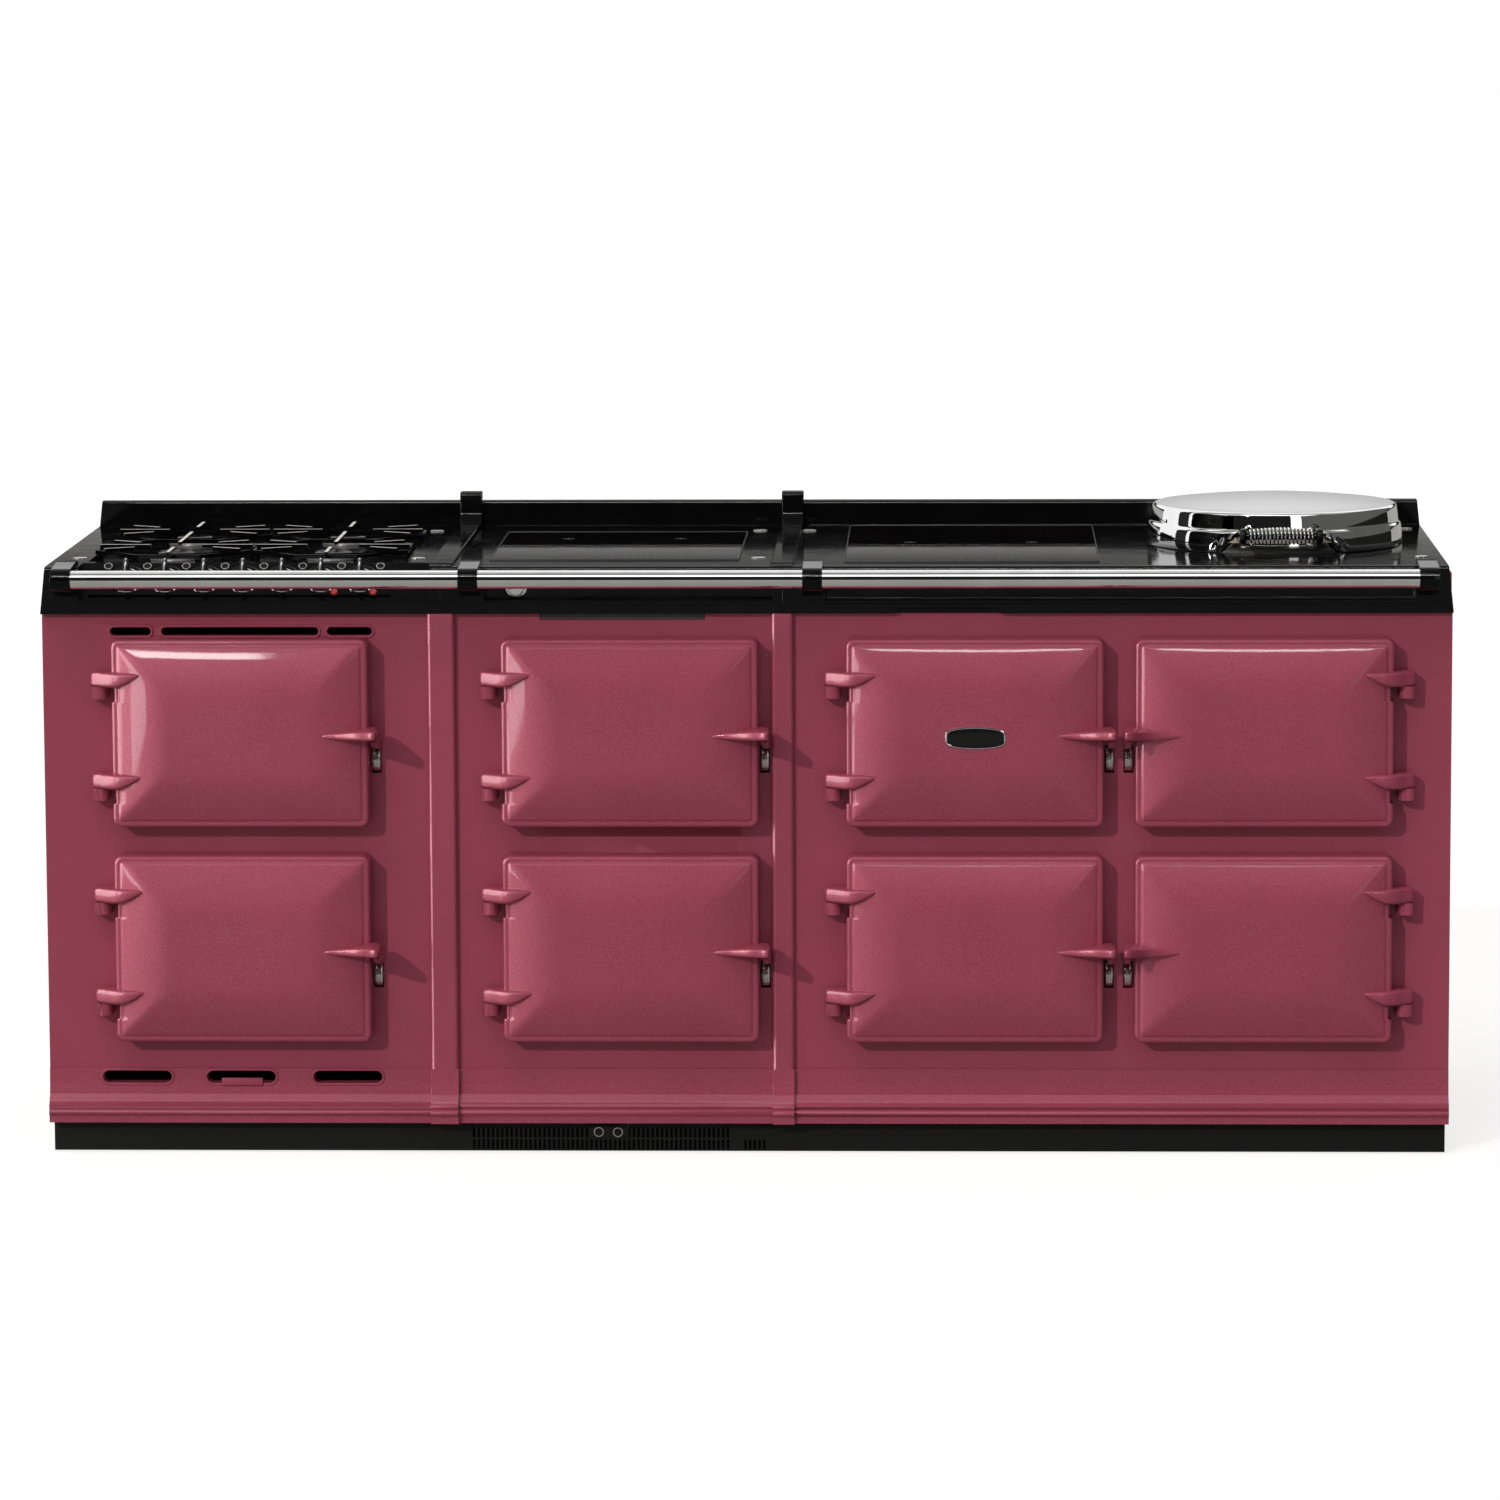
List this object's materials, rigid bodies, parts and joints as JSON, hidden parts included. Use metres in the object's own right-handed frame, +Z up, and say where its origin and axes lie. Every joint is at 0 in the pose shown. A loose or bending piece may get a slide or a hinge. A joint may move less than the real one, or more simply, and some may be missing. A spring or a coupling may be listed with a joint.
{
  "type": "range cooker",
  "caption": "Wide enamelled cast iron range cooker with hinged oven doors, gas and ceramic hobs, a domed hotplate lid with a coil handle, and a chrome hand rail.",
  "frame": {"origin": "centre of the footprint, on the floor", "axes": "+X to the right of someone facing the cooker, -Y out of its front, +Z up"},
  "size_m": [2.078, 0.752, 0.95],
  "materials": {
    "enamel": "glossy vitreous enamel, raspberry, fine pearl",
    "black_enamel": "glossy black vitreous enamel",
    "casing": "satin enamel on sheet",
    "plinth": "satin black powder coat",
    "fascia_black": "gloss black",
    "bracket_black": "gloss black",
    "rail_chrome": "polished chrome plate",
    "lid_chrome": "polished chrome plate",
    "hob_glass": "black glass ceramic, gloss",
    "hotplate_iron": "machined",
    "burner": "satin",
    "pan_support": "brushed",
    "tap_brass": "plain",
    "element_steel": "plain",
    "oven_steel": "dark grey vitreous enamel",
    "shelf_chrome": "plated wire",
    "liner_steel": "brushed",
    "roller_steel": "turned",
    "pin_steel": "turned",
    "insulation": "pressed steel skin over wool",
    "coil_steel": "polished wire",
    "knob": "gloss black"
  },
  "bodies": {
    "cooker": {"plinth": "plinth", "base_skirts": "enamel", "front_plates": "enamel", "pilasters": "enamel", "casing_panels": "casing", "top_plate_left": "black_enamel", "top_plate_middle": "black_enamel", "top_plate_right": "black_enamel", "joint_covers": "black_enamel", "hand_rail": "rail_chrome", "rail_brackets": "bracket_black", "ceramic_hobs": "hob_glass", "hotplate": "hotplate_iron", "gas_burners": "burner", "control_panels": "fascia_black", "control_taps": "tap_brass", "gas_pipes": "tap_brass", "heating_elements": "element_steel", "oven_boxes": "oven_steel", "oven_shelves": "shelf_chrome", "hinge_pins": "pin_steel", "lid_hinge_bracket": "bracket_black"},
    "left_upper_door": {"door_left_upper": "enamel", "liner_left_upper": "liner_steel"},
    "left_lower_door": {"door_left_lower": "enamel", "liner_left_lower": "liner_steel"},
    "middle_upper_door": {"door_middle_upper": "enamel", "liner_middle_upper": "liner_steel"},
    "middle_lower_door": {"door_middle_lower": "enamel", "liner_middle_lower": "liner_steel"},
    "centre_upper_door": {"door_centre_upper": "enamel", "liner_centre_upper": "liner_steel"},
    "centre_lower_door": {"door_centre_lower": "enamel", "liner_centre_lower": "liner_steel"},
    "right_upper_door": {"door_right_upper": "enamel", "liner_right_upper": "liner_steel"},
    "right_lower_door": {"door_right_lower": "enamel", "liner_right_lower": "liner_steel"},
    "left_upper_roller": {"roller_left_upper": "roller_steel"},
    "left_lower_roller": {"roller_left_lower": "roller_steel"},
    "middle_upper_roller": {"roller_middle_upper": "roller_steel"},
    "middle_lower_roller": {"roller_middle_lower": "roller_steel"},
    "centre_upper_roller": {"roller_centre_upper": "roller_steel"},
    "centre_lower_roller": {"roller_centre_lower": "roller_steel"},
    "right_upper_roller": {"roller_right_upper": "roller_steel"},
    "right_lower_roller": {"roller_right_lower": "roller_steel"},
    "knob_1_body": {"knob_1": "knob"},
    "knob_2_body": {"knob_2": "knob"},
    "knob_3_body": {"knob_3": "knob"},
    "knob_4_body": {"knob_4": "knob"},
    "knob_5_body": {"knob_5": "knob"},
    "knob_6_body": {"knob_6": "knob"},
    "knob_7_body": {"knob_7": "knob"},
    "dial_body": {"thermostat_dial": "rail_chrome"},
    "hotplate_lid": {"lid_shell": "lid_chrome", "lid_liner": "insulation", "lid_handle": "bracket_black", "lid_coil": "coil_steel"},
    "left_pan_support": {"pan_support_left": "pan_support"},
    "right_pan_support": {"pan_support_right": "pan_support"}
  },
  "joints": [
    {"name": "left_upper_door_hinge", "type": "hinge", "parent": "cooker", "child": "left_upper_door", "pos_m": [-0.952, -0.288, 0.636], "axis": [0, 0, -1], "range_deg": [0, 110]},
    {"name": "left_lower_door_hinge", "type": "hinge", "parent": "cooker", "child": "left_lower_door", "pos_m": [-0.952, -0.288, 0.315], "axis": [0, 0, -1], "range_deg": [0, 110]},
    {"name": "middle_upper_door_hinge", "type": "hinge", "parent": "cooker", "child": "middle_upper_door", "pos_m": [-0.378, -0.288, 0.636], "axis": [0, 0, -1], "range_deg": [0, 110]},
    {"name": "middle_lower_door_hinge", "type": "hinge", "parent": "cooker", "child": "middle_lower_door", "pos_m": [-0.378, -0.288, 0.315], "axis": [0, 0, -1], "range_deg": [0, 110]},
    {"name": "centre_upper_door_hinge", "type": "hinge", "parent": "cooker", "child": "centre_upper_door", "pos_m": [0.129, -0.288, 0.636], "axis": [0, 0, -1], "range_deg": [0, 110]},
    {"name": "centre_lower_door_hinge", "type": "hinge", "parent": "cooker", "child": "centre_lower_door", "pos_m": [0.129, -0.288, 0.315], "axis": [0, 0, -1], "range_deg": [0, 110]},
    {"name": "right_upper_door_hinge", "type": "hinge", "parent": "cooker", "child": "right_upper_door", "pos_m": [0.971, -0.288, 0.636], "axis": [0, 0, 1], "range_deg": [0, 110]},
    {"name": "right_lower_door_hinge", "type": "hinge", "parent": "cooker", "child": "right_lower_door", "pos_m": [0.971, -0.288, 0.315], "axis": [0, 0, 1], "range_deg": [0, 110]},
    {"name": "left_upper_roller_spin", "type": "hinge", "parent": "cooker", "child": "left_upper_roller", "pos_m": [-0.545, -0.259, 0.591], "axis": [1, 0, 0], "continuous": true},
    {"name": "left_lower_roller_spin", "type": "hinge", "parent": "cooker", "child": "left_lower_roller", "pos_m": [-0.545, -0.259, 0.27], "axis": [1, 0, 0], "continuous": true},
    {"name": "middle_upper_roller_spin", "type": "hinge", "parent": "cooker", "child": "middle_upper_roller", "pos_m": [0.029, -0.259, 0.591], "axis": [1, 0, 0], "continuous": true},
    {"name": "middle_lower_roller_spin", "type": "hinge", "parent": "cooker", "child": "middle_lower_roller", "pos_m": [0.029, -0.259, 0.27], "axis": [1, 0, 0], "continuous": true},
    {"name": "centre_upper_roller_spin", "type": "hinge", "parent": "cooker", "child": "centre_upper_roller", "pos_m": [0.536, -0.259, 0.591], "axis": [1, 0, 0], "continuous": true},
    {"name": "centre_lower_roller_spin", "type": "hinge", "parent": "cooker", "child": "centre_lower_roller", "pos_m": [0.536, -0.259, 0.27], "axis": [1, 0, 0], "continuous": true},
    {"name": "right_upper_roller_spin", "type": "hinge", "parent": "cooker", "child": "right_upper_roller", "pos_m": [0.564, -0.259, 0.591], "axis": [1, 0, 0], "continuous": true},
    {"name": "right_lower_roller_spin", "type": "hinge", "parent": "cooker", "child": "right_lower_roller", "pos_m": [0.564, -0.259, 0.27], "axis": [1, 0, 0], "continuous": true},
    {"name": "knob_1_turn", "type": "hinge", "parent": "cooker", "child": "knob_1_body", "pos_m": [-0.913, -0.244, 0.854], "axis": [0, -0.6783, 0.7348], "range_deg": [0, 270]},
    {"name": "knob_2_turn", "type": "hinge", "parent": "cooker", "child": "knob_2_body", "pos_m": [-0.8554, -0.244, 0.854], "axis": [0, -0.6783, 0.7348], "range_deg": [0, 270]},
    {"name": "knob_3_turn", "type": "hinge", "parent": "cooker", "child": "knob_3_body", "pos_m": [-0.7978, -0.244, 0.854], "axis": [0, -0.6783, 0.7348], "range_deg": [0, 270]},
    {"name": "knob_4_turn", "type": "hinge", "parent": "cooker", "child": "knob_4_body", "pos_m": [-0.7402, -0.244, 0.854], "axis": [0, -0.6783, 0.7348], "range_deg": [0, 270]},
    {"name": "knob_5_turn", "type": "hinge", "parent": "cooker", "child": "knob_5_body", "pos_m": [-0.6826, -0.244, 0.854], "axis": [0, -0.6783, 0.7348], "range_deg": [0, 270]},
    {"name": "knob_6_turn", "type": "hinge", "parent": "cooker", "child": "knob_6_body", "pos_m": [-0.625, -0.244, 0.854], "axis": [0, -0.6783, 0.7348], "range_deg": [0, 270]},
    {"name": "knob_7_turn", "type": "hinge", "parent": "cooker", "child": "knob_7_body", "pos_m": [-0.5674, -0.244, 0.854], "axis": [0, -0.6783, 0.7348], "range_deg": [0, 270]},
    {"name": "thermostat_dial_turn", "type": "hinge", "parent": "cooker", "child": "dial_body", "pos_m": [-0.337, -0.25, 0.846], "axis": [0, -1, 0], "range_deg": [0, 270]},
    {"name": "hotplate_lid_hinge", "type": "hinge", "parent": "cooker", "child": "hotplate_lid", "pos_m": [0.79225, 0.287, 0.903], "axis": [-1, 0, 0], "range_deg": [0, 85]},
    {"name": "left_pan_support_lift", "type": "slide", "parent": "cooker", "child": "left_pan_support", "axis": [0, 0, 1], "range_m": [0, 0.06]},
    {"name": "right_pan_support_lift", "type": "slide", "parent": "cooker", "child": "right_pan_support", "axis": [0, 0, 1], "range_m": [0, 0.06]}
  ]
}
